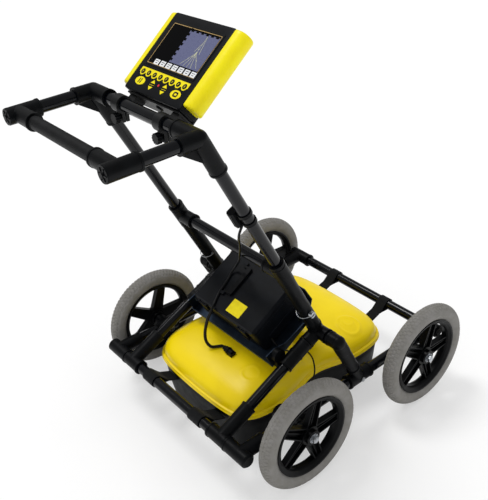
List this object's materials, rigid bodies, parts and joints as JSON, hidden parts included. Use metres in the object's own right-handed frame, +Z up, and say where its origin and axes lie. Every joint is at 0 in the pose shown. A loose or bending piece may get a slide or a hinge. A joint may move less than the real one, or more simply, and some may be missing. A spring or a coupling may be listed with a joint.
{
  "type": "ground penetrating radar cart",
  "caption": "Push cart of black tubes on four spoked wheels that carries a yellow radar sensor between them, a sloping battery case and a tilting handle display",
  "frame": {"origin": "on the ground under the middle of the cart's bounding box", "axes": "+X to the cart's right, +Y forwards, +Z up"},
  "size_m": [0.765, 0.9909, 1.1423],
  "materials": {
    "tube": "satin black glass-fibre tube",
    "fitting": "matt black moulded nylon",
    "steel": "bright zinc-plated steel",
    "grip": "matt black rubber cover",
    "webbing": "black woven webbing",
    "tray_sheet": "blue-grey anodised sheet",
    "case_shell": "fine-grained black case plastic",
    "battery_case": "battery casing",
    "tyre": "grey non-marking rubber",
    "rim": "black moulded nylon",
    "housing": "black display housing",
    "cheek": "bright yellow moulded plastic",
    "screen_glass": "display window",
    "key_membrane": "printed membrane",
    "bracket": "black powder coat",
    "shell": "bright yellow moulded shell",
    "tub": "black polyethylene",
    "board": "circuit board",
    "cable": "black cable jacket"
  },
  "bodies": {
    "frame": {"rear_crossbar": "tube", "front_crossbar": "tube", "side_rails": "tube", "base_fittings": "fitting", "rear_struts": "tube", "hinge_fittings": "fitting", "legs": "fitting", "axle_mounts": "fitting", "axles": "steel", "axle_nuts": "steel", "wheel_bearings": "steel", "sleeves": "fitting", "mid_crossbar": "tube", "uprights": "tube", "handle_fittings": "fitting", "side_tubes": "tube", "grip_bar": "grip", "display_crossbar": "tube", "frame_bolts": "steel", "tow_straps": "webbing", "tray_clips": "fitting", "battery_tray": "tray_sheet", "case_base": "case_shell", "battery": "battery_case", "lid_hinge_pin": "steel", "junction_box": "fitting", "odometer": "fitting", "data_cable": "cable", "odometer_cable": "cable"},
    "wheel_rear_left": {"tyre_rear_left": "tyre", "rim_rear_left": "rim"},
    "wheel_rear_right": {"tyre_rear_right": "tyre", "rim_rear_right": "rim"},
    "wheel_front_left": {"tyre_front_left": "tyre", "rim_front_left": "rim"},
    "wheel_front_right": {"tyre_front_right": "tyre", "rim_front_right": "rim"},
    "display": {"display_housing": "housing", "display_grips": "cheek", "screen": "screen_glass", "keypad": "key_membrane", "display_bracket": "bracket"},
    "knob_left": {"clamp_knob_left": "fitting"},
    "knob_right": {"clamp_knob_right": "fitting"},
    "case_lid_body": {"case_lid": "case_shell"},
    "latch_left": {"case_latch_left": "fitting"},
    "latch_right": {"case_latch_right": "fitting"},
    "handle_bail": {"case_handle": "fitting"},
    "pin_left": {"lock_pin_left": "steel"},
    "pin_right": {"lock_pin_right": "steel"},
    "bail_left": {"pin_bail_left": "steel"},
    "bail_right": {"pin_bail_right": "steel"},
    "sensor": {"sensor_shell": "shell", "sensor_base": "tub", "skid_sheet": "tub", "antenna_boards": "board", "sensor_connector": "fitting"}
  },
  "joints": [
    {"name": "wheel_rear_left_spin", "type": "hinge", "parent": "frame", "child": "wheel_rear_left", "pos_m": [-0.3495, -0.1185, 0.159], "axis": [1, 0, 0], "continuous": true},
    {"name": "wheel_rear_right_spin", "type": "hinge", "parent": "frame", "child": "wheel_rear_right", "pos_m": [0.3495, -0.1185, 0.159], "axis": [1, 0, 0], "continuous": true},
    {"name": "wheel_front_left_spin", "type": "hinge", "parent": "frame", "child": "wheel_front_left", "pos_m": [-0.3495, 0.3365, 0.159], "axis": [1, 0, 0], "continuous": true},
    {"name": "wheel_front_right_spin", "type": "hinge", "parent": "frame", "child": "wheel_front_right", "pos_m": [0.3495, 0.3365, 0.159], "axis": [1, 0, 0], "continuous": true},
    {"name": "display_tilt", "type": "hinge", "parent": "frame", "child": "display", "pos_m": [0, -0.26974, 0.982], "axis": [1, 0, 0], "range_deg": [-35, 50]},
    {"name": "clamp_knob_left_turn", "type": "hinge", "parent": "display", "child": "knob_left", "pos_m": [-0.084, -0.28974, 0.952], "axis": [0, 1, 0], "range_deg": [-180, 180]},
    {"name": "clamp_knob_right_turn", "type": "hinge", "parent": "display", "child": "knob_right", "pos_m": [0.084, -0.28974, 0.952], "axis": [0, 1, 0], "range_deg": [-180, 180]},
    {"name": "case_lid_open", "type": "hinge", "parent": "frame", "child": "case_lid_body", "pos_m": [0, 0.06213, 0.42056], "axis": [-1, 0, 0], "range_deg": [0, 58], "deforming": ["data_cable"]},
    {"name": "case_latch_left_open", "type": "hinge", "parent": "case_lid_body", "child": "latch_left", "pos_m": [-0.086, -0.10718, 0.33781], "axis": [-1, 0, 0], "range_deg": [0, 100]},
    {"name": "case_latch_right_open", "type": "hinge", "parent": "case_lid_body", "child": "latch_right", "pos_m": [0.086, -0.10718, 0.33781], "axis": [-1, 0, 0], "range_deg": [0, 100]},
    {"name": "case_handle_lift", "type": "hinge", "parent": "case_lid_body", "child": "handle_bail", "pos_m": [-0.044, -0.01902, 0.40211], "axis": [0, -0.866, -0.5], "range_deg": [0, 65]},
    {"name": "lock_pin_left_slide", "type": "slide", "parent": "frame", "child": "pin_left", "axis": [-1, 0, 0], "range_m": [0, 0.045]},
    {"name": "pin_bail_left_open", "type": "hinge", "parent": "pin_left", "child": "bail_left", "pos_m": [-0.2332, 0.01273, 0.40793], "axis": [0, 0.4415, -0.8973], "range_deg": [0, 120]},
    {"name": "lock_pin_right_slide", "type": "slide", "parent": "frame", "child": "pin_right", "axis": [1, 0, 0], "range_m": [0, 0.045]},
    {"name": "pin_bail_right_open", "type": "hinge", "parent": "pin_right", "child": "bail_right", "pos_m": [0.2332, 0.01273, 0.40793], "axis": [0, -0.4415, 0.8973], "range_deg": [0, 120]},
    {"name": "sensor_float", "type": "slide", "parent": "frame", "child": "sensor", "axis": [0, 0, 1], "range_m": [0, 0.006], "deforming": ["tow_straps", "data_cable"]}
  ],
  "couplings": [
    {"joint": "pin_bail_left_open", "follows": "lock_pin_left_slide", "rad_per_m": 46.542},
    {"joint": "pin_bail_right_open", "follows": "lock_pin_right_slide", "rad_per_m": 46.542}
  ]
}
